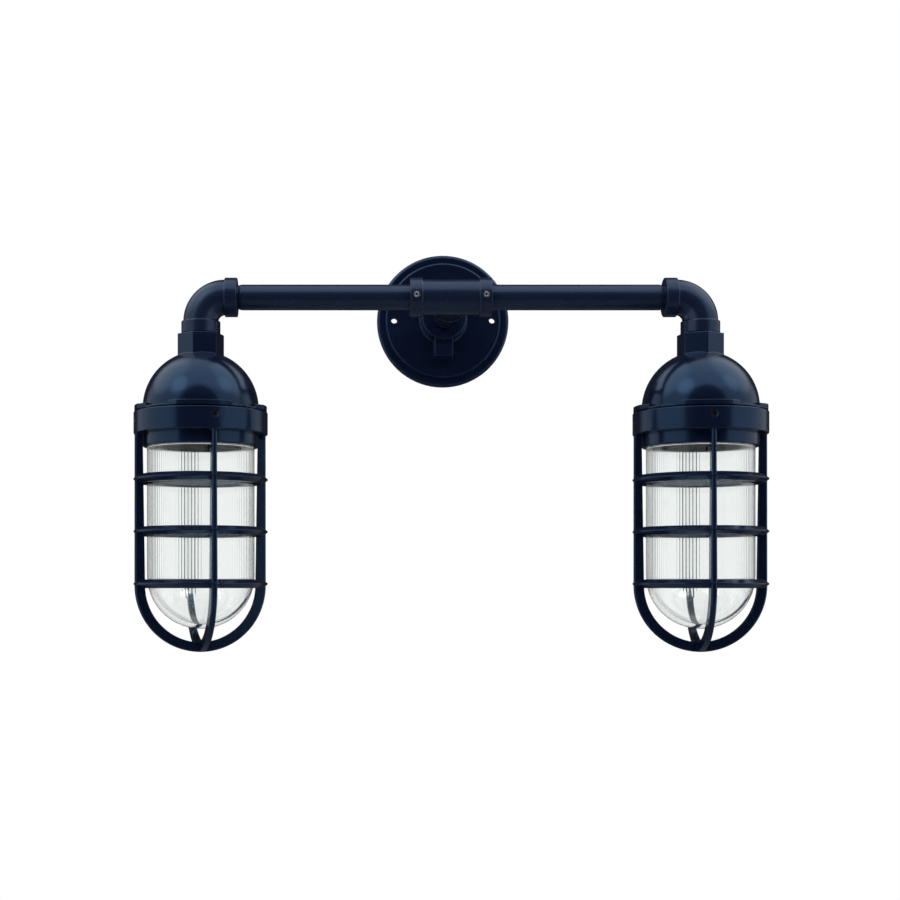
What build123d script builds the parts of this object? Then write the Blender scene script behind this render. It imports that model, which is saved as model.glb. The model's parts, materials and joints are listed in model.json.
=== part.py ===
from build123d import *
import math
import os

# Twin-lamp pipe sconce: a round wall plate, a stem and tee, two pipe arms and two caged lamp heads.
# Frame: millimetres, +Z up, +X along the arms, origin at the middle of the wall plate's back face.
# The wall is the plane y = 0 and the sconce stands out from it towards -Y.

# Clearances
slip_gap = 0.15         # radial, pipe in a fitting, screw in its hole, shell in its holder
turn_gap = 0.3          # between pieces that move against each other
seat_gap = 0.4          # between an elbow's end and the hub that screws up under it

# Layout
arm_projection = 120.0  # wall to the axis of the arms
lamp_spacing = 418.0    # between the axes of the two lamps
left_head_turn = 5.0    # where the left head comes to a stop on its thread, degrees
right_head_turn = 85.0  # the same for the right head, degrees
left_guard_turn = 17.3  # where the left guard is clamped on its head, degrees
right_guard_turn = -0.9  # the same for the right guard, degrees
hex_turn = 11.3         # hub's hexagon against the lugs, degrees

# Pipe
pipe_od = 21.3
pipe_wall = 2.8
thread_depth = 0.8
thread_grip = 13.0      # thread inside an elbow or a hub
thread_show = 0.8       # thread left bare outside the elbow
thread_runout = 3.0
slip_grip = 17.0        # plain pipe inside the tee or the wall plate's hub

# Pipe fittings
fitting_wall = 3.9
branch_inset = 0.4      # tee's branch inside the outline of its run
band_proud = 1.6
band_length = 10.4
band_round = 0.7
tee_length = 68.2
tee_reach = 34.1        # tee's middle to the end of its branch
elbow_reach = 30.6
bend_radius = 20.4
stop_lip = 1.6          # shoulder that a pipe's end stops against

# Wall plate
wall_hole_spacing = 88.9
wall_hole_d = 5.6
hole_margin = 4.75      # outside each wall hole, to the raised disc's edge
recess_margin = 3.65    # inside each wall hole, to the wiring recess
rim_width = 8.0
rim_thickness = 6.0
rim_round = 3.6
disc_thickness = 9.5
disc_round = 1.8
recess_depth = 6.0
hub_wall = 9.2
hub_height = 28.0       # from the wall
hub_round = 1.6
hub_fillet = 3.0
boss_width = 16.6
boss_reach = 14.4       # below the hub
boss_setback = 5.0      # behind the hub's front face
boss_round = 1.2

# Screws
grub_d = 4.7
grub_socket = 2.4
tee_grub_sink = 0.35    # below the face of the tee's band
hub_grub_d = 6.0
hub_grub_sink = 3.0     # below the boss's lower face
hub_grub_socket = 3.0
socket_depth_share = 0.45
machine_d = 3.4
machine_head_d = 6.4
machine_head_height = 2.2
machine_length = 8.0
slot_width = 0.9
slot_depth = 1.0
earth_margin = 10.0     # earth screw inside the edge of the recess
earth_length = 2.6      # thread in the floor of the recess

# Globe and its gasket
globe_d = 89.6
globe_wall = 2.7
globe_length = 151.6    # below the skirt
globe_base = 3.4
neck_step = 0.5         # neck inside the outline of the globe
neck_length = 13.0
shoulder_round = 0.4
shoulder_drop = 0.5     # between the skirt's lip and the shoulder
gasket_thickness = 2.5
gasket_width = 3.4

# Lamp housing
hex_wall = 7.0
hub_to_rim = 62.4       # top of the hexagon to the dome's rim
skirt_wall = 3.8
skirt_length = 30.3
lip_round = 1.6
dome_wall = 3.2
dome_straight = 0.4     # short upright wall between the dome and the flange
flange_width = 3.4
flange_thickness = 1.6
lug_count = 4
lug_reach = 3.4         # beyond the flange
lug_height = 3.9
lug_tip_angle = 20.5    # half a lug's outer face, seen from the lamp's axis, degrees
lug_base_angle = 30.3   # half a lug's foot on the flange, degrees
ledge_thickness = 3.0
ledge_width = 4.6       # inside the bore of the skirt

# Guard
guard_gap = 1.2         # between the flange and the guard's collar
guard_slip = 0.5        # radial, collar round the skirt
globe_gap = 2.6         # radial, between the globe and the bars
globe_room = 11.2       # under the globe
collar_wall = 7.0
collar_height = 18.3
collar_round = 0.8
bar_count = 4
bar_setback = 0.3       # bars' outer faces behind the collar's
bar_top_width = 4.4     # inner face, inside the collar
bar_low_width = 5.9     # inner face, under the globe
bar_draft = 4.0         # each side, narrowing outwards, degrees
bar_chamfer = 1.1
root_width = 13.0       # where a bar spreads into the collar
root_drop = 2.9
root_inset = 1.2        # web's faces behind the bar's faces
cross_inset = 0.15      # second arch inside the first where they cross
hoop_count = 3
first_hoop_drop = 55.9  # below the top of the collar
last_hoop_rise = 1.4    # above where the bars begin to bend
hoop_height = 7.2
hoop_flat = 1.0
hoop_proud = 0.3        # hoops' ridges beyond the bars
hoop_slope = 4.5        # radial, from a hoop's ridge to its shoulder
hoop_back = 2.1         # radial, from a hoop's shoulder to its inside
guard_screw_drop = 6.3
guard_screw_sink = 1.2
countersink_d = 6.6

# Lampholder
strap_rise = 21.4       # strap's upper face above the dome's rim
strap_room = 5.5        # between each end of the strap and the dome
strap_width = 24.0
strap_thickness = 1.6
strap_hole_gap = 1.0    # radial, round the way for the leads
post_d = 9.0
shell_bore = 26.8       # inside the screw shell, for a 26 mm lamp base
shell_wall = 0.6
shell_length = 23.0
shell_sink = 1.0        # shell's mouth above the holder's lower face
contact_d = 8.0
contact_height = 3.0
holder_wall = 3.35
holder_step = 2.5
holder_roof = 10.0      # above the screw shell
holder_collar_height = 20.0
holder_round = 1.5
holder_screw_inset = 7.0

# Wiring
lead_d = 2.5
lead_gap = 0.3          # between a lead and the pipe's bore
lead_stop = 10.0        # from the tee's middle to where an arm's leads end
supply_lead_count = 4

# Sizes and places worked out from the sizes above
pipe_r = pipe_od / 2
pipe_bore_r = pipe_r - pipe_wall
slip_r = pipe_r + slip_gap
thread_r = pipe_r - thread_depth
tapped_r = thread_r + slip_gap
wire_way_r = pipe_bore_r + slip_gap
fitting_r = slip_r + fitting_wall
branch_r = fitting_r - branch_inset
band_r = fitting_r + band_proud
disc_r = (wall_hole_spacing + wall_hole_d) / 2 + hole_margin
plate_r = disc_r + rim_width
recess_r = (wall_hole_spacing - wall_hole_d) / 2 - recess_margin
hub_r = slip_r + hub_wall
boss_drop = hub_r + boss_reach
earth_offset = recess_r - earth_margin
lamp_x = lamp_spacing / 2
hex_top = -(elbow_reach + seat_gap)
rim_z = hex_top - hub_to_rim
flange_top = rim_z - dome_straight
flange_bottom = flange_top - flange_thickness
lip_z = flange_bottom - skirt_length
globe_r = globe_d / 2
globe_inner_r = globe_r - globe_wall
globe_bottom = lip_z - globe_length
neck_r = globe_r - neck_step
neck_top = lip_z + neck_length
ledge_bottom = neck_top + gasket_thickness
ledge_top = ledge_bottom + ledge_thickness
skirt_bore_r = neck_r + turn_gap
body_r = skirt_bore_r + skirt_wall
cavity_r = body_r - dome_wall
flange_r = body_r + flange_width
lug_r = flange_r + lug_reach
guard_top = flange_bottom - guard_gap
collar_bottom = guard_top - collar_height
collar_bore_r = body_r + guard_slip
collar_r = collar_bore_r + collar_wall
bar_reach = collar_r - bar_setback
bar_inner_r = globe_r + globe_gap
bar_top_r = collar_bore_r + guard_slip
cage_centre = globe_bottom - globe_room + bar_inner_r
hoop_tip_r = bar_reach + hoop_proud
hoop_shoulder_r = hoop_tip_r - hoop_slope
hoop_inner_r = hoop_shoulder_r - hoop_back
strap_top = rim_z + strap_rise
strap_length = 2 * (math.sqrt(cavity_r ** 2 - strap_rise ** 2) - strap_room)
strap_screw_spacing = strap_length - strap_width / 2
shell_r = shell_bore / 2 + shell_wall
holder_collar_r = shell_r + slip_gap + holder_wall
holder_r = holder_collar_r + holder_step
holder_screw_spacing = 2 * (holder_r - holder_screw_inset)
holder_top = strap_top - strap_thickness
shell_floor = holder_top - holder_roof
shell_mouth = shell_floor - shell_length
holder_bottom = shell_mouth - shell_sink
lead_offset = pipe_bore_r - lead_gap - lead_d / 2
arm_axis = Pos(0, -arm_projection, 0)


def upright(radius, low, high):
    """Cylinder about Z between two heights."""
    return Pos(0, 0, (low + high) / 2) * Cylinder(radius, high - low)


def turned(outline):
    """Solid of revolution about Z from lines and arcs drawn as (radius, height)."""
    return revolve(make_face(Plane.XZ * (Curve() + outline)), Axis.Z)


def path_of(*points):
    """Straight lines through the given points."""
    return [Line(a, b) for a, b in zip(points, points[1:])]


def ring_of(shape, count):
    """Copies of a shape spaced evenly about Z."""
    return [Rot(0, 0, 360 / count * i) * shape for i in range(count)]


def grub_screw(diameter, length, socket):
    """Set screw standing on its cup point at z = 0, with a hexagon socket in its top."""
    body = Cylinder(diameter / 2, length, align=(Align.CENTER, Align.CENTER, Align.MIN))
    body = chamfer(body.edges().group_by(Axis.Z)[0], diameter / 6)
    depth = length * socket_depth_share
    key = extrude(RegularPolygon(socket / 2, 6, major_radius=False), depth)
    return body - Pos(0, 0, length - depth) * key


def machine_screw(length):
    """Slotted screw with its head's underside at z = 0 and its thread pointing down."""
    head = Cylinder(machine_head_d / 2, machine_head_height,
                    align=(Align.CENTER, Align.CENTER, Align.MIN))
    head = fillet(head.edges().group_by(Axis.Z)[-1], machine_head_height / 3)
    slot = Box(machine_head_d, slot_width, slot_depth, align=(Align.CENTER, Align.CENTER, Align.MAX))
    head -= Pos(0, 0, machine_head_height) * slot
    return head + upright(machine_d / 2, -length, 0)


def band(length):
    """Reinforcing band of a pipe fitting, standing on z = 0."""
    ring = Cylinder(band_r, length, align=(Align.CENTER, Align.CENTER, Align.MIN))
    return fillet(ring.edges().filter_by(GeomType.CIRCLE), band_round)


# Directions in which an upright shape is laid: towards +X, -X, +Y and -Y
to_right = Rot(0, 90, 0)
to_left = Rot(0, -90, 0)
to_wall = Rot(-90, 0, 0)
to_front = Rot(90, 0, 0)


def wall_plate():
    """Cast plate with a raised disc, a hub for the stem, a set-screw boss and a wiring recess."""
    rim = Cylinder(plate_r, rim_thickness, align=(Align.CENTER, Align.CENTER, Align.MIN))
    rim = fillet(rim.edges().group_by(Axis.Z)[-1], rim_round)
    disc = Cylinder(disc_r, disc_thickness, align=(Align.CENTER, Align.CENTER, Align.MIN))
    disc = fillet(disc.edges().group_by(Axis.Z)[-1], disc_round)
    hub = Cylinder(hub_r, hub_height, align=(Align.CENTER, Align.CENTER, Align.MIN))
    hub = fillet(hub.edges().group_by(Axis.Z)[-1], hub_round)
    foot = turned(path_of((0, disc_thickness), (hub_r + hub_fillet, disc_thickness))
                  + [CenterArc((hub_r + hub_fillet, disc_thickness + hub_fillet),
                               hub_fillet, 180, 90)]
                  + path_of((hub_r, disc_thickness + hub_fillet), (0, disc_thickness + hub_fillet),
                            (0, disc_thickness)))
    boss = Box(boss_width, boss_drop, hub_height - boss_setback, align=(Align.CENTER, Align.MAX, Align.MIN))
    outer = boss.edges().filter_by(Axis.Z).group_by(Axis.Y)[0] + boss.edges().group_by(Axis.Z)[-1]
    boss = fillet(outer, boss_round)
    plate = rim + disc + hub + foot + boss
    plate -= Cylinder(recess_r, recess_depth, align=(Align.CENTER, Align.CENTER, Align.MIN))
    plate -= upright(slip_r, hub_height - slip_grip - turn_gap, hub_height)
    plate -= upright(slip_r - stop_lip, 0, hub_height)
    for side in (-1, 1):
        plate -= Pos(side * wall_hole_spacing / 2, 0, 0) * upright(wall_hole_d / 2, 0, disc_thickness)
    plate -= Pos(0, -earth_offset, 0) * upright(machine_d / 2 + slip_gap, 0, recess_depth + earth_length)
    screw_height = hub_height - slip_grip / 2
    screw_way = Pos(0, 0, screw_height) * to_front * upright(hub_grub_d / 2 + slip_gap, 0, plate_r)
    return to_front * (plate - screw_way)


def hub_set_screw():
    """Set screw in the plate's boss, pointing up at the stem."""
    tip = pipe_r + turn_gap
    screw = Pos(0, 0, tip) * grub_screw(hub_grub_d, boss_drop - hub_grub_sink - tip, hub_grub_socket)
    return Pos(0, -(hub_height - slip_grip / 2), 0) * Rot(180, 0, 0) * screw


def earth_screw():
    """Earth screw in the floor of the wiring recess, with its head towards the wall."""
    return Pos(0, -recess_depth, -earth_offset) * to_wall * machine_screw(earth_length)


def stem_nipple():
    """Pipe between the wall plate's hub and the tee's branch."""
    near = hub_height - slip_grip
    far = arm_projection - tee_reach + slip_grip
    return to_front * (upright(pipe_r, near, far) - upright(pipe_bore_r, near, far))


def tee():
    """Tee with a band and a set-screw hole at each arm, and its branch towards the wall."""
    half = tee_length / 2
    run = to_right * upright(fitting_r, -half, half)
    branch = to_wall * upright(branch_r, 0, tee_reach)
    body = run + branch
    for way in (to_right, to_left):
        body += way * Pos(0, 0, half - band_length) * band(band_length)
    body += to_wall * Pos(0, 0, tee_reach - band_length) * band(band_length)
    body -= to_right * upright(slip_r - stop_lip, -half, half)
    body -= to_wall * upright(pipe_bore_r, 0, tee_reach)
    for way in (to_right, to_left):
        body -= way * upright(slip_r, half - slip_grip - turn_gap, half)
    body -= to_wall * upright(slip_r, tee_reach - slip_grip, tee_reach)
    for side in (-1, 1):
        screw_way = to_front * upright(grub_d / 2 + slip_gap, 0, band_r)
        body -= Pos(side * (half - band_length / 2), 0, 0) * screw_way
    return arm_axis * body


def tee_set_screws():
    """Set screws in the fronts of the tee's bands, one for each arm."""
    tip = pipe_r + turn_gap
    screw = to_front * Pos(0, 0, tip) * grub_screw(grub_d, band_r - tee_grub_sink - tip, grub_socket)
    spread = tee_length / 2 - band_length / 2
    return [arm_axis * Pos(side * spread, 0, 0) * screw for side in (-1, 1)]


def supply_leads():
    """Leads lying along the wall of the stem's bore, two for each lamp."""
    far = arm_projection - tee_reach / 2
    lead = Pos(lead_offset, 0, 0) * upright(lead_d / 2, 0, far)
    return [to_front * one for one in ring_of(lead, supply_lead_count)]


def arm_pipe():
    """Left arm: plain where it slips into the tee, threaded where it screws into the elbow."""
    tee_end = lamp_x - tee_length / 2 + slip_grip
    thread_end = elbow_reach - thread_grip
    thread_stop = elbow_reach + thread_show
    outside = turned(path_of((0, thread_end), (thread_r, thread_end), (thread_r, thread_stop),
                             (pipe_r, thread_stop + thread_runout), (pipe_r, tee_end), (0, tee_end),
                             (0, thread_end)))
    return to_right * (outside - upright(pipe_bore_r, thread_end, tee_end))


def elbow():
    """Left elbow: a quarter bend between two banded ends, facing the tee and the lamp."""
    bend = Plane.XZ * FilletPolyline((elbow_reach, 0), (0, 0), (0, -elbow_reach), radius=bend_radius)
    start = Plane(bend @ 0, z_dir=bend % 0)
    body = sweep(start * Circle(fitting_r), path=bend)
    down = Rot(180, 0, 0)
    for way in (to_right, down):
        body += way * Pos(0, 0, elbow_reach - band_length) * band(band_length)
    body -= sweep(start * Circle(tapped_r - stop_lip), path=bend)
    for way in (to_right, down):
        body -= way * upright(tapped_r, elbow_reach - thread_grip, elbow_reach)
    return body


def close_nipple():
    """Threaded nipple that joins an elbow to the hub of a lamp housing."""
    low, high = hex_top - thread_grip, -(elbow_reach - thread_grip)
    return upright(thread_r, low, high) - upright(pipe_bore_r, low, high)


def arm_leads():
    """Two leads of the left lamp, from the lampholder round the elbow and along the arm."""
    route = Plane.XZ * FilletPolyline((0, holder_top), (0, 0), (lamp_x - lead_stop, 0),
                                      radius=bend_radius)
    lead = sweep(Plane(route @ 0, z_dir=route % 0) * Circle(lead_d / 2), path=route)
    return [Pos(0, side * lead_offset, 0) * lead for side in (-1, 1)]


def lug():
    """One lug of the housing's flange, pointing forwards, with sloping ends."""
    base_angle, tip_angle = math.radians(lug_base_angle), math.radians(lug_tip_angle)
    base_x, base_y = flange_r * math.sin(base_angle), flange_r * math.cos(base_angle)
    tip_x, tip_y = lug_r * math.sin(tip_angle), lug_r * math.cos(tip_angle)
    end_x = tip_x - (base_x - tip_x) / (tip_y - base_y) * (lug_r - tip_y)
    plan = Polygon((0, 0), (-base_x, -base_y), (-end_x, -lug_r), (end_x, -lug_r), (base_x, -base_y),
                   align=None)
    block = Pos(0, 0, flange_bottom) * extrude(plan, lug_height)
    return block & upright(lug_r, flange_bottom, flange_bottom + lug_height)


def housing():
    """Cast lamp housing: hexagon hub, dome, flange with lugs, and the skirt that holds the globe."""
    body = turned([CenterArc((0, rim_z), body_r, 0, 90)]
                  + path_of((0, rim_z + body_r), (0, lip_z), (body_r - lip_round, lip_z))
                  + [CenterArc((body_r - lip_round, lip_z + lip_round), lip_round, 270, 90)]
                  + path_of((body_r, lip_z + lip_round), (body_r, flange_bottom),
                            (flange_r, flange_bottom), (flange_r, flange_top), (body_r, flange_top),
                            (body_r, rim_z)))
    hexagon = RegularPolygon(tapped_r + hex_wall, 6, major_radius=False, rotation=hex_turn)
    body += Pos(0, 0, rim_z) * extrude(hexagon, hex_top - rim_z)
    for one in ring_of(lug(), lug_count):
        body += one
    body -= turned([CenterArc((0, rim_z), cavity_r, 0, 90)]
                   + path_of((0, rim_z + cavity_r), (0, ledge_top), (cavity_r, ledge_top),
                             (cavity_r, rim_z)))
    body -= upright(skirt_bore_r - ledge_width, lip_z, ledge_top)
    body -= upright(skirt_bore_r, lip_z, ledge_bottom)
    body -= upright(tapped_r, hex_top - thread_grip, hex_top)
    body -= upright(wire_way_r, rim_z, hex_top)
    for side in (-1, 1):
        place = Pos(side * strap_screw_spacing / 2, 0, 0)
        post = place * upright(post_d / 2, strap_top, rim_z + body_r)
        body += post & Pos(0, 0, rim_z) * Sphere(body_r - dome_wall / 2)
        hole_top = strap_top + machine_length - strap_thickness
        body -= place * upright(machine_d / 2 + slip_gap, strap_top, hole_top)
    return body


def lampholder_strap():
    """Steel strap across the dome that carries the lampholder."""
    strap = Pos(0, 0, strap_top) * Box(strap_length, strap_width, strap_thickness,
                                       align=(Align.CENTER, Align.CENTER, Align.MAX))
    strap = fillet(strap.edges().filter_by(Axis.Z), strap_width / 4)
    strap -= upright(wire_way_r + strap_hole_gap, holder_top, strap_top)
    for spacing in (strap_screw_spacing, holder_screw_spacing):
        for side in (-1, 1):
            hole = upright(machine_d / 2 + slip_gap, holder_top, strap_top)
            strap -= Pos(side * spacing / 2, 0, 0) * hole
    return strap


def strap_screws():
    """Screws from below that hold the strap to the posts in the dome."""
    screw = Pos(0, 0, holder_top) * Rot(180, 0, 0) * machine_screw(machine_length)
    return [Pos(side * strap_screw_spacing / 2, 0, 0) * screw for side in (-1, 1)]


def holder_screws():
    """Screws from above that hold the lampholder to the strap."""
    screw = Pos(0, 0, strap_top) * machine_screw(machine_length)
    return [Pos(side * holder_screw_spacing / 2, 0, 0) * screw for side in (-1, 1)]


def lampholder():
    """Porcelain lampholder with a bore for the screw shell."""
    step = holder_bottom + holder_collar_height
    body = upright(holder_r, step, holder_top)
    body = fillet(body.edges().filter_by(GeomType.CIRCLE), holder_round)
    neck = upright(holder_collar_r, holder_bottom, step + holder_round)
    neck = fillet(neck.edges().group_by(Axis.Z)[0], holder_round)
    body += neck
    body -= upright(shell_r + slip_gap, holder_bottom, shell_floor)
    body -= upright(contact_d / 2 + slip_gap, shell_floor, shell_floor + contact_height)
    for side in (-1, 1):
        hole = upright(machine_d / 2 + slip_gap, strap_top - machine_length, holder_top)
        body -= Pos(side * holder_screw_spacing / 2, 0, 0) * hole
    return body


def screw_shell():
    """Brass shell that a lamp's base screws into."""
    outside = upright(shell_r, shell_mouth, shell_floor)
    return outside - upright(shell_bore / 2, shell_mouth, shell_floor)


def centre_contact():
    """Contact button in a pocket at the bottom of the lampholder's bore."""
    button = upright(contact_d / 2, shell_floor, shell_floor + contact_height)
    return fillet(button.edges().group_by(Axis.Z)[0], contact_height / 3)


def globe_gasket():
    """Rubber ring between the globe's rim and the ledge inside the housing."""
    return upright(neck_r, neck_top, ledge_bottom) - upright(neck_r - gasket_width, neck_top, ledge_bottom)


def globe():
    """Clear glass jar with a short neck, straight sides and a round base."""
    shoulder = lip_z - shoulder_drop
    arc_r, arc_z = globe_r - shoulder_round, shoulder - shoulder_round
    rim = neck_top - turn_gap
    centre = globe_bottom + globe_r
    outside = turned(path_of((0, globe_bottom), (0, rim), (neck_r, rim), (neck_r, shoulder),
                             (arc_r, shoulder))
                     + [CenterArc((arc_r, arc_z), shoulder_round, 0, 90)]
                     + path_of((globe_r, arc_z), (globe_r, centre))
                     + [CenterArc((0, centre), globe_r, 270, 90)])
    floor_centre = globe_bottom + globe_base + globe_inner_r
    inside = turned(path_of((0, globe_bottom + globe_base), (0, neck_top), (globe_inner_r, neck_top),
                            (globe_inner_r, floor_centre))
                    + [CenterArc((0, floor_centre), globe_inner_r, 270, 90)])
    return outside - inside


def bar_section(inner_r, outer_r, width):
    """Section of the right-hand bar in plan: narrowing outwards, with its outer edges chamfered."""
    slope = math.tan(math.radians(bar_draft))
    edge_r = outer_r - bar_chamfer
    edge = width / 2 - (edge_r - inner_r) * slope
    face = edge - bar_chamfer
    return Polygon((inner_r, -width / 2), (edge_r, -edge), (outer_r, -face), (outer_r, face), (edge_r, edge),
                   (inner_r, width / 2), align=None)


def guard_arch(inset):
    """One U-shaped pair of bars, closed under the globe, in the XZ plane."""
    outer_r = bar_reach - inset
    top = bar_section(bar_top_r, outer_r, bar_top_width)
    low = Pos(0, 0, cage_centre) * bar_section(bar_inner_r + inset, outer_r, bar_low_width)
    leg = loft([Pos(0, 0, collar_bottom + collar_height / 2) * top, low], ruled=True)
    bend = revolve(low, Axis((0, 0, cage_centre), (0, 1, 0)), 180)
    return leg + bend + Rot(0, 0, 180) * leg


def guard_hoop(height):
    """One horizontal hoop of the guard, with a ridge round its outside."""
    half, flat = hoop_height / 2, hoop_flat / 2
    return turned(path_of((hoop_inner_r, height - half), (hoop_shoulder_r, height - half),
                          (hoop_tip_r, height - flat), (hoop_tip_r, height + flat),
                          (hoop_shoulder_r, height + half), (hoop_inner_r, height + half),
                          (hoop_inner_r, height - half)))


def bar_root():
    """Web that spreads the right-hand bar into the collar above it."""
    half, foot = root_width / 2, bar_top_width / 2 - root_inset / 2
    top, low = collar_bottom + root_drop, collar_bottom - root_drop
    web = Polyline((-half, top), (-half, collar_bottom), (-foot, low), (foot, low), (half, collar_bottom),
                   (half, top), close=True)
    block = extrude(make_face(Plane.YZ * web), bar_reach - root_inset)
    return block - upright(bar_top_r + root_inset, low, top)


def guard():
    """Cast guard: a collar round the skirt, two crossed arches and three hoops."""
    collar = upright(collar_r, collar_bottom, guard_top)
    collar = fillet(collar.edges().filter_by(GeomType.CIRCLE), collar_round)
    body = collar - upright(collar_bore_r, collar_bottom, guard_top)
    for one in ring_of(bar_root(), bar_count):
        body += one
    body += guard_arch(0)
    body += Rot(0, 0, 90) * guard_arch(cross_inset)
    first_hoop, last_hoop = guard_top - first_hoop_drop, cage_centre + last_hoop_rise
    for i in range(hoop_count):
        body += guard_hoop(first_hoop + (last_hoop - first_hoop) * i / (hoop_count - 1))
    sink = (countersink_d - grub_d) / 2
    screw_way = upright(grub_d / 2 + slip_gap, 0, collar_r)
    screw_way += Pos(0, 0, collar_r) * Cone(grub_d / 2, countersink_d / 2 + sink, 2 * sink)
    for one in ring_of(to_right * screw_way, bar_count):
        body -= Pos(0, 0, guard_top - guard_screw_drop) * one
    return body


def guard_set_screws():
    """Set screws in the guard's collar, one above each bar, pointing in at the skirt."""
    tip = body_r + turn_gap
    screw = Pos(0, 0, tip) * grub_screw(grub_d, collar_r - guard_screw_sink - tip, grub_socket)
    screw = Pos(0, 0, guard_top - guard_screw_drop) * to_right * screw
    return ring_of(screw, bar_count)


def write(name, shape):
    """Write one node, a single solid or a group of like ones."""
    export_step(Compound(children=shape) if isinstance(shape, list) else shape, f"parts/{name}.step")


def placed(shape, place):
    """A solid or a group of solids at a new place."""
    return [place * one for one in shape] if isinstance(shape, list) else place * shape


os.makedirs("parts", exist_ok=True)

centre_pieces = {
    "wall_plate": wall_plate(),
    "hub_set_screw": hub_set_screw(),
    "earth_screw": earth_screw(),
    "stem_nipple": stem_nipple(),
    "tee": tee(),
    "tee_set_screws": tee_set_screws(),
    "supply_leads": supply_leads(),
}

# Pieces of the left arm, about its lamp's axis. The right arm's are the same, turned half round.
arm_pieces = {
    "arm_pipe": arm_pipe(),
    "elbow": elbow(),
    "close_nipple": close_nipple(),
    "arm_leads": arm_leads(),
}

# Pieces of a lamp head, about its own axis. Each head is turned to where its thread stops.
head_pieces = {
    "housing": housing(),
    "lampholder_strap": lampholder_strap(),
    "strap_screws": strap_screws(),
    "lampholder": lampholder(),
    "holder_screws": holder_screws(),
    "screw_shell": screw_shell(),
    "centre_contact": centre_contact(),
    "globe_gasket": globe_gasket(),
    "globe": globe(),
}

# Pieces of a guard, about its lamp's axis
guard_pieces = {
    "guard": guard(),
    "guard_set_screws": guard_set_screws(),
}

# Place of each lamp's axis, and how far its arm, head and guard are turned about it
sides = {
    "left": (-lamp_x, (0, left_head_turn, left_guard_turn)),
    "right": (lamp_x, (180, right_head_turn, right_guard_turn)),
}

for name, shape in centre_pieces.items():
    write(name, shape)
for side, (x, turns) in sides.items():
    for pieces, turn in zip((arm_pieces, head_pieces, guard_pieces), turns):
        for name, shape in pieces.items():
            write(f"{side}_{name}", placed(shape, Pos(x, -arm_projection, 0) * Rot(0, 0, turn)))
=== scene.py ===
"""Looks of a twin-lamp pipe sconce: glossy navy castings and pipe, with fluted clear glass globes.

Everything is in metres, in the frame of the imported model: +Z up, +X along the arms, the wall at y = 0.
"""
import json
import logging
import math
from dataclasses import dataclass, field, replace
from enum import Enum
from typing import Any

import bmesh
import bpy
import numpy as np
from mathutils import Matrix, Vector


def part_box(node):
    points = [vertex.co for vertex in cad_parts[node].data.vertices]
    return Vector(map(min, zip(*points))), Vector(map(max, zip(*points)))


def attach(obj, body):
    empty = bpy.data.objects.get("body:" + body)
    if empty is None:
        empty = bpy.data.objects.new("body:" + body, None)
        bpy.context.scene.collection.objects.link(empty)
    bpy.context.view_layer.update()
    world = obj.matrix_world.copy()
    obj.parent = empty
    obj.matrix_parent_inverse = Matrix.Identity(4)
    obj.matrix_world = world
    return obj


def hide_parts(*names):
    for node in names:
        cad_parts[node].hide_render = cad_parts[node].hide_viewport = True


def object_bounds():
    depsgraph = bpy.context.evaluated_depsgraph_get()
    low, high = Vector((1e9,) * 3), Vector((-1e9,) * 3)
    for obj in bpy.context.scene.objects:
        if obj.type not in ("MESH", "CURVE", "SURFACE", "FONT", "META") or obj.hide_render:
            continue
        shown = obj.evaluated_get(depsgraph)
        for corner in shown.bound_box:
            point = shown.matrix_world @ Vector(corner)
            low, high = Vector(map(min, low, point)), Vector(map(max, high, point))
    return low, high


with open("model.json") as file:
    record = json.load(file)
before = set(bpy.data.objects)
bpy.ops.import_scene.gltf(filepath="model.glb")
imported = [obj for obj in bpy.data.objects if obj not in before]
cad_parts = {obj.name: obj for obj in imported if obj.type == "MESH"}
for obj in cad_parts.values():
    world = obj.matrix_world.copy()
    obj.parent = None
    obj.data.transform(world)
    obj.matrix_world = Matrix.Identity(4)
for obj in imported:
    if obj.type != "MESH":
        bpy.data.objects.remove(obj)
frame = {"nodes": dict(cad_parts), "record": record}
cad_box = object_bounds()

log = logging.getLogger("sconce")

Colour = tuple[float, float, float]
Point = tuple[float, float, float]
Span = tuple[float, float]

MM = 0.001
SAME_PLACE = 0.0001 * MM  # points nearer to each other than this are one point
WHITE = (1.0, 1.0, 1.0, 1.0)


class Side(Enum):
    """The two lamps, named as the viewer sees them."""

    LEFT = "left"
    RIGHT = "right"


class Variant(Enum):
    """Finishes that some nodes have instead of their slot's own."""

    FITTING = "navy_fitting"
    GUARD = "navy_guard"
    # A near-black copy of the screw steel for screws sunk in countersinks: painted shade of the recess.
    SHADED_SUNKEN = "shaded_sunken_screw"


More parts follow.
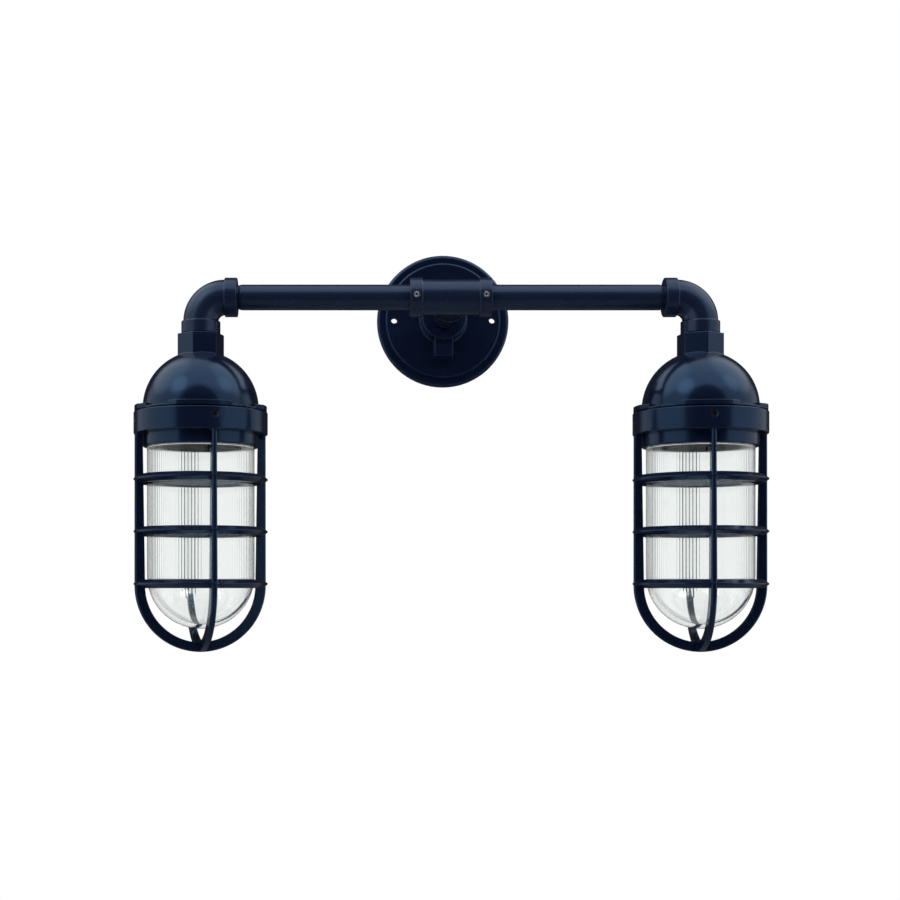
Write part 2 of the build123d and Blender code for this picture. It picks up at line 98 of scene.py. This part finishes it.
class NodeSheet:
    """A shader node tree with short calls for adding and joining nodes."""

    def __init__(self, tree: bpy.types.NodeTree) -> None:
        """Start from an empty tree.

        Args:
            tree: The material's or the world's node tree.
        """
        tree.nodes.clear()
        self.tree = tree

    def add(self, kind: str, inputs: dict[Any, Any] | None = None, **settings: Any) -> bpy.types.Node:
        """Add a node, with values or links on its inputs.

        Args:
            kind: The node's type without its "ShaderNode" prefix.
            inputs: Socket name or number to a value, or to an output that feeds it.
            settings: Properties of the node itself.

        Returns:
            The new node.
        """
        node = self.tree.nodes.new("ShaderNode" + kind)
        for name, value in settings.items():
            setattr(node, name, value)
        for socket, value in (inputs or {}).items():
            if isinstance(value, bpy.types.NodeSocket):
                self.tree.links.new(value, node.inputs[socket])
            else:
                node.inputs[socket].default_value = value
        return node

    def maths(self, operation: str, *values: Any) -> bpy.types.NodeSocket:
        """Output of a Math node on numbers or other outputs."""
        return self.add("Math", dict(enumerate(values)), operation=operation).outputs[0]

    def ramp(self, value: Any, span: Span, results: Span) -> bpy.types.NodeSocket:
        """Output that goes smoothly from one result to the other while a value crosses a span.

        Args:
            value: The output to read.
            span: Values at which the ramp starts and ends.
            results: Result up to the start, and after the end.

        Returns:
            The ramp's output.
        """
        inputs = {"Value": value, "From Min": span[0], "From Max": span[1],
                  "To Min": results[0], "To Max": results[1]}
        return self.add("MapRange", inputs, interpolation_type="SMOOTHSTEP").outputs["Result"]


def new_material(name: str) -> tuple[bpy.types.Material, NodeSheet]:
    """Make an empty material.

    Args:
        name: The material's name.

    Returns:
        The material and its nodes.
    """
    material = bpy.data.materials.new(name)
    material.use_nodes = True
    return material, NodeSheet(material.node_tree)


@dataclass(frozen=True)
class Finish:
    """A surface finish with an uneven colour, gloss and skin, the same all round a piece.

    Attributes:
        name: The record's material slot, or the variant of it, that this finish dresses.
        colour: Main colour, linear.
        shade: Colour that it drifts to in patches, linear.
        gloss: Lowest and highest roughness.
        metallic: 1 for bare metal, 0 for paint, clay and rubber.
        tint: Tint of the reflection on paint.
        sheen: Strength of the reflection seen face on, where 0.5 is plain varnish.
        patch: Size of the patches.
        patch_detail: Octaves of finer detail in the patches.
        colour_drift: Noise levels between which the colour goes over to the shade.
        gloss_drift: Noise levels between which the roughness goes from its lowest to its highest.
        skin: Size of the skin's ripples.
        skin_detail: Octaves of finer detail in the ripples.
        ripple: Depth of the skin's ripples.
        edge: Radius to which sharp edges are softened.
        edge_samples: Number of feelers that look for an edge round each point.
        worn_glint: Colour that shows along sharp edges, linear: partly edges worn bare, partly a painted
            highlight of the glint that an edge catches.
        glint_from: Cosine between the flat and the softened face at which an edge has its full worn colour
            and painted highlight.
    """

    name: str
    colour: Colour
    shade: Colour
    gloss: Span
    metallic: float = 0.0
    tint: Colour = (1.0, 1.0, 1.0)
    sheen: float = 0.5
    patch: float = 30 * MM
    patch_detail: float = 3.0
    colour_drift: Span = (0.35, 0.65)
    gloss_drift: Span = (0.3, 0.7)
    skin: float = 1.5 * MM
    skin_detail: float = 2.0
    ripple: float = 0.01 * MM
    edge: float = 0.4 * MM
    edge_samples: int = 6
    worn_glint: Colour | None = None
    glint_from: float = 0.9

    def material(self) -> bpy.types.Material:
        """Build the finish as a material.

        Returns:
            The material, with its pattern on Object coordinates.
        """
        material, sheet = new_material(self.name)
        place = sheet.add("TexCoord").outputs["Object"]
        patches = sheet.add("TexNoise", {"Vector": place, "Scale": 1 / self.patch,
                                         "Detail": self.patch_detail}).outputs["Fac"]
        ripples = sheet.add("TexNoise", {"Vector": place, "Scale": 1 / self.skin,
                                         "Detail": self.skin_detail}).outputs["Fac"]
        drift = sheet.ramp(patches, self.colour_drift, (0.0, 1.0))
        tone = sheet.add("Mix", {"Factor": drift, "A": (*self.colour, 1), "B": (*self.shade, 1)},
                         data_type="RGBA")
        colour = tone.outputs["Result"]
        edge = sheet.add("Bevel", {"Radius": self.edge}, samples=self.edge_samples).outputs["Normal"]
        # Sharp edges take the bright edge colour: partly bare wear, partly a painted highlight of the glint
        # an edge catches.
        if self.worn_glint:
            flat = sheet.add("NewGeometry").outputs["Normal"]
            turned = sheet.add("VectorMath", {0: flat, 1: edge}, operation="DOT_PRODUCT").outputs["Value"]
            glint_share = sheet.ramp(turned, (self.glint_from, 1.0), (1.0, 0.0))
            glint_mix = sheet.add("Mix", {"Factor": glint_share, "A": colour, "B": (*self.worn_glint, 1)}, data_type="RGBA")
            colour = glint_mix.outputs["Result"]
        bump = sheet.add("Bump", {"Height": ripples, "Distance": self.ripple, "Normal": edge})
        body = sheet.add("BsdfPrincipled", {
            "Base Color": colour,
            "Roughness": sheet.ramp(patches, self.gloss_drift, self.gloss),
            "Metallic": self.metallic,
            "Specular IOR Level": self.sheen,
            "Specular Tint": (*self.tint, 1),
            "Normal": bump.outputs["Normal"],
        })
        sheet.add("OutputMaterial", {"Surface": body.outputs["BSDF"]})
        return material


@dataclass(frozen=True)
class Glass:
    """Clear pressed glass with a faint green-grey tint.

    Attributes:
        name: The record's material slot that this finish dresses.
        tint: Colour of what passes through each face, linear.
        index: Index of refraction.
        gloss: Roughness of the fire-polished face.
        wave: Size of the slow waves in the pressed face.
        wave_detail: Octaves of finer detail in the waves.
        wave_depth: Depth of the waves.
    """

    name: str = "clear_glass"
    tint: Colour = (0.93, 0.952, 0.942)
    index: float = 1.5
    gloss: float = 0.0
    wave: float = 22 * MM
    wave_detail: float = 1.0
    wave_depth: float = 0.03 * MM

    def material(self) -> bpy.types.Material:
        """Build the glass as a material with slightly wavy faces.

        Returns:
            The material, with its waves on Object coordinates.
        """
        material, sheet = new_material(self.name)
        place = sheet.add("TexCoord").outputs["Object"]
        waves = sheet.add("TexNoise", {"Vector": place, "Scale": 1 / self.wave, "Detail": self.wave_detail})
        bump = sheet.add("Bump", {"Height": waves.outputs["Fac"], "Distance": self.wave_depth})
        body = sheet.add("BsdfPrincipled", {
            "Base Color": (*self.tint, 1),
            "Roughness": self.gloss,
            "IOR": self.index,
            "Transmission Weight": 1.0,
            "Normal": bump.outputs["Normal"],
        })
        sheet.add("OutputMaterial", {"Surface": body.outputs["BSDF"]})
        return material


NAVY: Colour = (0.0035, 0.0062, 0.020)
NAVY_SHADE: Colour = (0.003, 0.0053, 0.017)
NAVY_TINT: Colour = (0.27, 0.56, 1.0)
PIPE_NAVY: Colour = (0.0048, 0.0085, 0.026)
PIPE_SHADE: Colour = (0.004, 0.0072, 0.022)
PIPE_TINT: Colour = (0.43, 0.64, 1.0)
PAINT_SHEEN = 1.0

CASTING = Finish("navy_casting", NAVY, NAVY_SHADE, (0.15, 0.21), tint=NAVY_TINT, sheen=PAINT_SHEEN,
                 skin=4 * MM, ripple=0.03 * MM, edge=1.2 * MM)

FINISHES: tuple[Finish | Glass, ...] = (
    CASTING,
    replace(CASTING, name=Variant.GUARD.value, edge=0.3 * MM),
    Finish(Variant.FITTING.value, PIPE_NAVY, PIPE_SHADE, (0.24, 0.34), tint=PIPE_TINT, sheen=PAINT_SHEEN,
           skin=3 * MM, ripple=0.07 * MM, edge=1.2 * MM),
    Finish("navy_pipe", PIPE_NAVY, PIPE_SHADE, (0.26, 0.34), tint=PIPE_TINT, sheen=PAINT_SHEEN,
           ripple=0.012 * MM),
    # Dark screw steel with edges painted bright: partly bare wear, partly a painted highlight of the ring of
    # light on each screw's edge.
    Finish("screw_steel", (0.02, 0.021, 0.025), (0.015, 0.016, 0.02), (0.35, 0.5), edge=0.6 * MM,
           worn_glint=(0.75, 0.76, 0.78)),
    # Near-black copy of the screw steel with no bright edges, for the guards' sunken screws: painted shade of
    # their recess.
    Finish(Variant.SHADED_SUNKEN.value, (0.004, 0.005, 0.008), (0.003, 0.004, 0.006), (0.4, 0.55), edge=0.2 * MM),
    Finish("zinc_steel", (0.55, 0.55, 0.53), (0.47, 0.47, 0.44), (0.28, 0.45), metallic=1.0, edge=0.2 * MM),
    Finish("green_steel", (0.03, 0.2, 0.07), (0.02, 0.15, 0.05), (0.3, 0.42), edge=0.2 * MM),
    Finish("brass", (0.72, 0.5, 0.2), (0.62, 0.41, 0.15), (0.2, 0.34), metallic=1.0, edge=0.1 * MM),
    Finish("porcelain", (0.82, 0.8, 0.75), (0.78, 0.75, 0.69), (0.08, 0.16), ripple=0.03 * MM,
           edge=0.6 * MM),
    Finish("gasket_rubber", (0.03, 0.03, 0.03), (0.02, 0.02, 0.02), (0.6, 0.75), edge=0.3 * MM),
    Finish("lead_insulation", (0.025, 0.025, 0.027), (0.018, 0.018, 0.02), (0.45, 0.6), edge=0.1 * MM),
    Glass(),
)


def ring_object(name: str, points: np.ndarray) -> bpy.types.Object:
    """Put rings of points into a mesh object, with smooth faces.

    A face joins two neighbours of a ring to the same two of the next ring. Points of one place are merged, so
    a ring that has shrunk to a pole is closed by triangles.

    Args:
        name: The object's name.
        points: Array of shape (rings, points of a ring, 3). The way from ring to ring, crossed with the way
            round them, points outwards.

    Returns:
        The new object, at the origin.
    """
    rings, columns, _ = points.shape
    ring = columns * np.arange(rings - 1)[:, None]
    here = np.arange(columns)
    beside = (here + 1) % columns
    corners = (ring + here, ring + columns + here, ring + columns + beside, ring + beside)
    faces = np.stack([corner.ravel() for corner in corners], axis=1)
    mesh = bpy.data.meshes.new(name)
    mesh.vertices.add(rings * columns)
    mesh.vertices.foreach_set("co", points.astype(np.float32).ravel())
    mesh.loops.add(faces.size)
    mesh.loops.foreach_set("vertex_index", faces.astype(np.int32).ravel())
    mesh.polygons.add(len(faces))
    mesh.polygons.foreach_set("loop_start", np.arange(0, faces.size, len(corners), dtype=np.int32))
    mesh.polygons.foreach_set("use_smooth", np.ones(len(faces), dtype=bool))
    mesh.update(calc_edges=True)
    merged = bmesh.new()
    merged.from_mesh(mesh)
    bmesh.ops.remove_doubles(merged, verts=merged.verts, dist=SAME_PLACE)
    merged.to_mesh(mesh)
    merged.free()
    mesh.validate()
    piece = bpy.data.objects.new(name, mesh)
    bpy.context.scene.collection.objects.link(piece)
    return piece


def arc(centre: tuple[float, float], radius: float, start: float, end: float, count: int) -> np.ndarray:
    """Points of an arc in the (radius, height) plane.

    Args:
        centre: The arc's middle.
        radius: The arc's radius.
        start: First angle, in degrees from the outward direction.
        end: Last angle, in degrees.
        count: Number of points.

    Returns:
        Array of shape (count, 2): centre + radius * (cos, sin) of evenly spaced angles.
    """
    angle = np.radians(np.linspace(start, end, count))
    return np.array(centre) + radius * np.stack([np.cos(angle), np.sin(angle)], axis=1)


@dataclass
class Globe:
    """Clear glass jar with straight flutes pressed into its inner wall.

    Attributes:
        side: Which lamp the globe belongs to.
        wall: Thickness of the straight wall.
        base: Thickness of the bottom.
        neck_radius: Outer radius of the neck.
        neck_drop: From the globe's rim to its shoulder.
        shoulder: Radius of the shoulder's round.
        lip: Radius of the rounds on the rim.
        run_out: Length over which the flutes fade out below the rim.
        hold: From each turn to the ring that keeps the straight wall's shading straight.
        flutes: Number of flutes round the inside.
        flute_depth: Depth of a flute.
        fade_from: Share of the inner radius at which the flutes have faded out in the bowl.
        steps_per_flute: Columns of the mesh in each flute.
        bowl_steps: Points of the section along the bottom's quarter circle, inside and out.
        round_steps: Points of the section along each small round.
        low: Lowest corner of the CAD globe's box.
        high: Highest corner of the CAD globe's box.
    """

    side: Side
    wall: float = 2.7 * MM
    base: float = 3.4 * MM
    neck_radius: float = 44.3 * MM
    neck_drop: float = 13.2 * MM
    shoulder: float = 0.4 * MM
    lip: float = 0.8 * MM
    run_out: float = 2.0 * MM
    hold: float = 0.6 * MM
    flutes: int = 112
    flute_depth: float = 0.14 * MM
    fade_from: float = 0.9
    steps_per_flute: int = 10
    bowl_steps: int = 19
    round_steps: int = 4
    low: np.ndarray = field(init=False)
    high: np.ndarray = field(init=False)

    def __post_init__(self) -> None:
        """Take the place and the outer size from the CAD globe."""
        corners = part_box(self.node)
        self.low, self.high = np.array(corners[0]), np.array(corners[1])

    @property
    def node(self) -> str:
        """Name of the CAD node that this globe stands for."""
        return f"{self.side.value}_globe"

    def outline(self) -> tuple[np.ndarray, np.ndarray]:
        """Half section of the jar, from the outside of its base up, over the rim and down the inside.

        Straight lines and arcs follow one another: the round bottom, the wall, the shoulder's two rounds, the
        neck and the rim's rounds, then the inner wall and the inner bottom.

        Returns:
            Array (n, 2) of radius and height, and array (n,) with the share of a flute's depth at each point.
        """
        radius = (self.high[0] - self.low[0]) / 2
        inner = radius - self.wall
        neck, shoulder = self.neck_radius, self.shoulder
        bottom, rim = self.low[2], self.high[2]
        centre = bottom + radius
        inner_centre = bottom + self.base + inner
        shoulder_z = rim - self.neck_drop
        rim_z = rim - self.lip
        corner = radius - shoulder - neck
        fluted_top = rim_z - self.run_out
        outside = [
            arc((0, centre), radius, -90, 0, self.bowl_steps),
            [(radius, centre + self.hold), (radius, shoulder_z - shoulder - self.hold)],
            arc((radius - shoulder, shoulder_z - shoulder), shoulder, 0, 90, self.round_steps),
            arc((neck + corner, shoulder_z + corner), corner, -90, -180, self.round_steps)[1:],
            [(neck, shoulder_z + corner + self.hold), (neck, rim_z - self.hold)],
            arc((neck - self.lip, rim_z), self.lip, 0, 90, self.round_steps),
        ]
        mouth = arc((inner + self.lip, rim_z), self.lip, 90, 180, self.round_steps)
        wall = [(inner, z) for z in (fluted_top, fluted_top - self.hold, inner_centre + self.hold)]
        bowl = arc((0, inner_centre), inner, 0, -90, self.bowl_steps)
        section = np.concatenate([np.asarray(part, float) for part in (*outside, mouth, wall, bowl)])
        fluted_from = sum(len(part) for part in outside) + len(mouth)
        share = np.zeros(len(section))
        reach = section[fluted_from:, 0] / inner
        share[fluted_from:] = np.clip((reach - self.fade_from) / (1 - self.fade_from), 0, 1)
        return section, share

    def build(self) -> bpy.types.Object:
        """Turn the section about the lamp's axis.

        A point that lies at t in its flute, from -1 to 1, has its section's radius, less depth * share *
        (1 - t * t). So the flutes are arched ridges that stand inwards and fade out below the straight wall.
        The rings run from the inner bottom to the outer one, which turns the faces outwards.

        Returns:
            The globe's object.
        """
        section, share = self.outline()
        step = np.arange(self.flutes * self.steps_per_flute)
        turn = step * 2 * math.pi / step.size
        across = 2 * (step % self.steps_per_flute) / self.steps_per_flute - 1
        ridge = 1 - across ** 2
        radius = section[:, :1] - self.flute_depth * share[:, None] * ridge[None, :]
        middle = (self.low + self.high) / 2
        points = np.stack([
            middle[0] + radius * np.cos(turn),
            middle[1] + radius * np.sin(turn),
            np.broadcast_to(section[:, 1:], radius.shape),
        ], axis=2)
        return ring_object(f"{self.side.value}_fluted_globe", np.flip(points, axis=0))

    def dress(self, materials: dict[str, bpy.types.Material]) -> bpy.types.Object:
        """Build the globe, give it its glass and put it on its body.

        Args:
            materials: Materials by the name of their finish.

        Returns:
            The finished globe.
        """
        piece = self.build()
        piece.data.materials.append(materials["clear_glass"])
        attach(piece, f"{self.side.value}_jar")
        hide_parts(self.node)
        return piece


@dataclass
class CadPieces:
    """The CAD pieces that keep their shape and get a finish.

    Attributes:
        materials: Materials by the name of their finish.
        variants: Finish by node, for the nodes whose finish isn't that of their slot.
    """

    materials: dict[str, bpy.types.Material]
    variants: dict[str, Variant] = field(default_factory=lambda: {
        "tee": Variant.FITTING,
        "left_elbow": Variant.FITTING,
        "right_elbow": Variant.FITTING,
        "left_guard": Variant.GUARD,
        "right_guard": Variant.GUARD,
        # The guards' sunken screws take the darker copy of the screw steel, which paints the shade of their
        # recess.
        "left_guard_set_screws": Variant.SHADED_SUNKEN,
        "right_guard_set_screws": Variant.SHADED_SUNKEN,
    })

    def dress(self) -> list[str]:
        """Give each CAD node its finish.

        Returns:
            Names of the nodes that were dressed.
        """
        done = []
        for part in frame["record"]["subparts"]:
            node = part["node"]
            finish = self.variants[node].value if node in self.variants else part["material_slot"]
            for slot in frame["nodes"][node].material_slots:
                slot.material = self.materials[finish]
            done.append(node)
        return done


@dataclass(frozen=True)
class Panel:
    """A soft patch of light in the studio, as reflections show it.

    Attributes:
        towards: Direction of its middle, seen from the sconce.
        full_deg: Angle from the middle within which it has its full level.
        fade_deg: Angle at which it has faded out.
        level: Its brightness, where 1 is white.
    """

    towards: Point
    full_deg: float
    fade_deg: float
    level: float

    def brightness(self, sheet: NodeSheet) -> bpy.types.NodeSocket:
        """Draw the panel in the world's nodes.

        Args:
            sheet: The world's nodes.

        Returns:
            Output that is the panel's level round its middle and fades out with the angle from there.
        """
        way = sheet.add("TexCoord").outputs["Generated"]
        towards = np.array(self.towards) / np.linalg.norm(self.towards)
        along = sheet.add("VectorMath", {0: way, 1: tuple(towards)}, operation="DOT_PRODUCT")
        fade, full = (math.cos(math.radians(angle)) for angle in (self.fade_deg, self.full_deg))
        return sheet.ramp(along.outputs["Value"], (fade, full), (0.0, self.level))


@dataclass(frozen=True)
class SoftLamp:
    """A square soft lamp that points at the middle of the sconce and shows in no reflection.

    Attributes:
        name: The lamp's name.
        place: Where it stands.
        size: Length of its sides.
        watts: Its power.
    """

    name: str
    place: Point
    size: float
    watts: float

    def build(self) -> None:
        """Add the lamp to the scene."""
        light = bpy.data.lights.new(self.name, "AREA")
        light.size = self.size
        light.energy = self.watts
        lamp = bpy.data.objects.new(self.name, light)
        lamp.location = self.place
        aim = (cad_box[0] + cad_box[1]) / 2 - lamp.location
        lamp.rotation_euler = aim.to_track_quat("-Z", "Y").to_euler()
        lamp.visible_glossy = False
        bpy.context.scene.collection.objects.link(lamp)


@dataclass
class Studio:
    """White surroundings, soft lamps, a pale floor and a dark room in front.

    Attributes:
        ambient: Level of the light that comes from all round.
        room: Level of the dark parts of the room in reflections.
        panels: Soft patches of light in reflections.
        gap: Dark gap between the panels, where the camera stands; its level is the share that it takes away.
        lamps: The lamps that light the sconce.
        floor_drop: Height of the floor below the arms.
        floor_radius: Radius of the floor.
        floor_rings: Rings of points in the floor, with its middle.
        floor_columns: Points in each ring of the floor.
        floor_tone: How pale the floor is.
        floor_white: Share of plain white in the floor as the camera sees it; the rest takes the shadow.
        floor_gloss: Level of the floor in reflections.
    """

    ambient: float = 0.55
    room: float = 0.03
    panels: tuple[Panel, ...] = (
        Panel((-0.98, -0.21, 0.0), 44, 60, 0.55),
        Panel((0.98, -0.21, 0.0), 44, 60, 0.55),
        Panel((-0.64, 0.08, 0.76), 20, 40, 1.25),
        Panel((0.64, 0.08, 0.76), 20, 40, 1.25),
        Panel((0.0, -0.40, 0.92), 32, 54, 0.9),
        Panel((-0.56, -0.50, 0.66), 4, 24, 1.8),
        Panel((0.69, -0.28, 0.67), 4, 24, 1.6),
    )
    gap: Panel = Panel((0.02, -1.0, 0.05), 35, 44, 0.95)
    lamps: tuple[SoftLamp, ...] = (
        SoftLamp("key_left", (-1.5, -1.7, 1.3), 1.0, 26.0),
        SoftLamp("key_right", (1.5, -1.7, 1.3), 1.0, 22.0),
        SoftLamp("overhead", (0.0, -0.5, 2.0), 1.2, 14.0),
    )
    floor_drop: float = 0.9
    floor_radius: float = 1.4
    floor_rings: int = 3
    floor_columns: int = 64
    floor_tone: float = 0.9
    floor_white: float = 0.75
    floor_gloss: float = 0.14

    def surroundings(self) -> None:
        """Light the world: white to the camera and through glass, a studio in reflections, even elsewhere."""
        world = bpy.data.worlds.new("studio")
        world.use_nodes = True
        bpy.context.scene.world = world
        sheet = NodeSheet(world.node_tree)
        path = sheet.add("LightPath").outputs
        studio: Any = self.room
        for panel in self.panels:
            studio = sheet.maths("MAXIMUM", studio, panel.brightness(sheet))
        studio = sheet.maths("MULTIPLY", studio, sheet.maths("SUBTRACT", 1.0, self.gap.brightness(sheet)))
        seen = sheet.maths("MAXIMUM", path["Is Camera Ray"], path["Is Transmission Ray"])
        through_glass = sheet.maths("GREATER_THAN", path["Transmission Depth"], 0.0)
        seen = sheet.maths("MAXIMUM", seen, through_glass)
        level = sheet.maths("MULTIPLY", path["Is Glossy Ray"], studio)
        level = sheet.maths("MAXIMUM", level, seen)
        other = sheet.maths("SUBTRACT", 1.0, sheet.maths("MAXIMUM", seen, path["Is Glossy Ray"]))
        level = sheet.maths("ADD", level, sheet.maths("MULTIPLY", other, self.ambient))
        white = sheet.add("Background", {"Color": WHITE, "Strength": level})
        sheet.add("OutputWorld", {"Surface": white.outputs["Background"]})

    def floor_material(self) -> bpy.types.Material:
        """Make the floor's material, which is nearly white to the camera and keeps the sconce's soft shadow.

        Returns:
            The material.
        """
        material, sheet = new_material("pale_floor")
        pale = sheet.add("BsdfDiffuse", {"Color": (*[self.floor_tone] * 3, 1)})
        path = sheet.add("LightPath").outputs
        seen = sheet.maths("MAXIMUM", path["Is Camera Ray"], path["Is Transmission Ray"])
        level = sheet.maths("MAXIMUM", seen, sheet.maths("MULTIPLY", path["Is Glossy Ray"], self.floor_gloss))
        white = sheet.add("Emission", {"Color": WHITE, "Strength": level})
        plain = sheet.maths("MAXIMUM", sheet.maths("MULTIPLY", seen, self.floor_white), path["Is Glossy Ray"])
        mix = sheet.add("MixShader", {"Fac": plain, 1: pale.outputs[0], 2: white.outputs[0]})
        sheet.add("OutputMaterial", {"Surface": mix.outputs[0]})
        return material

    def floor(self) -> bpy.types.Object:
        """Lay a round pale floor, well below the sconce.

        A point at angle a and share s of the radius is (s * cos a, s * sin a) times the radius.

        Returns:
            The floor.
        """
        turn = np.linspace(0, 2 * math.pi, self.floor_columns, endpoint=False)
        share = np.linspace(0, 1, self.floor_rings)[:, None]
        points = np.stack([
            self.floor_radius * share * np.cos(turn),
            self.floor_radius * share * np.sin(turn),
            np.full((self.floor_rings, self.floor_columns), -self.floor_drop),
        ], axis=2)
        floor = ring_object("floor", points)
        floor.data.materials.append(self.floor_material())
        return floor

    def build(self) -> None:
        """Set up the world, the lamps, the floor and the plain colour transform."""
        self.surroundings()
        for lamp in self.lamps:
            lamp.build()
        self.floor()
        bpy.context.scene.view_settings.view_transform = "Standard"


@dataclass(frozen=True)
class PhotoCamera:
    """Level camera at the photograph's viewpoint, with its frame shifted rather than turned.

    Attributes:
        frame_px: Width and height of the picture.
        eye_px: Picture point straight in front of the lens.
        tee_px: Picture point of the middle of the tee.
        px_per_mm: Scale in the plane of the arms.
        distance: From the lens to the plane of the arms.
        sensor_mm: Width of the sensor.
    """

    frame_px: float = 900.0
    eye_px: tuple[float, float] = (355.5, 588.0)
    tee_px: tuple[float, float] = (450.6, 297.5)
    px_per_mm: float = 1.1947
    distance: float = 1.3
    sensor_mm: float = 36.0

    def build(self) -> bpy.types.Object:
        """Place the camera.

        Returns:
            The camera, which is also the scene's.
        """
        low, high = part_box("tee_set_screws")
        pipe_low, pipe_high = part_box("left_arm_pipe")
        middle_x, arm_z = (low[0] + high[0]) / 2, (low[2] + high[2]) / 2
        arm_y = (pipe_low[1] + pipe_high[1]) / 2
        right, down = (self.eye_px[i] - self.tee_px[i] for i in (0, 1))
        data = bpy.data.cameras.new("photo_camera")
        data.sensor_width = self.sensor_mm
        data.lens = self.px_per_mm * self.distance / MM * self.sensor_mm / self.frame_px
        data.shift_x = (self.frame_px / 2 - self.eye_px[0]) / self.frame_px
        data.shift_y = (self.eye_px[1] - self.frame_px / 2) / self.frame_px
        camera = bpy.data.objects.new("photo_camera", data)
        camera.location = (middle_x + right / self.px_per_mm * MM, arm_y - self.distance,
                           arm_z - down / self.px_per_mm * MM)
        camera.rotation_euler = (math.pi / 2, 0, 0)
        bpy.context.scene.collection.objects.link(camera)
        bpy.context.scene.camera = camera
        return camera


def main() -> None:
    """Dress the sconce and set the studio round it."""
    logging.basicConfig(level=logging.INFO, format="%(name)s: %(message)s")
    PhotoCamera().build()
    Studio().build()
    materials = {finish.name: finish.material() for finish in FINISHES}
    for node in CadPieces(materials).dress():
        log.info("dressed %s", node)
    for side in Side:
        log.info("built %s", Globe(side).dress(materials).name)


if __name__ == "__main__":
    main()
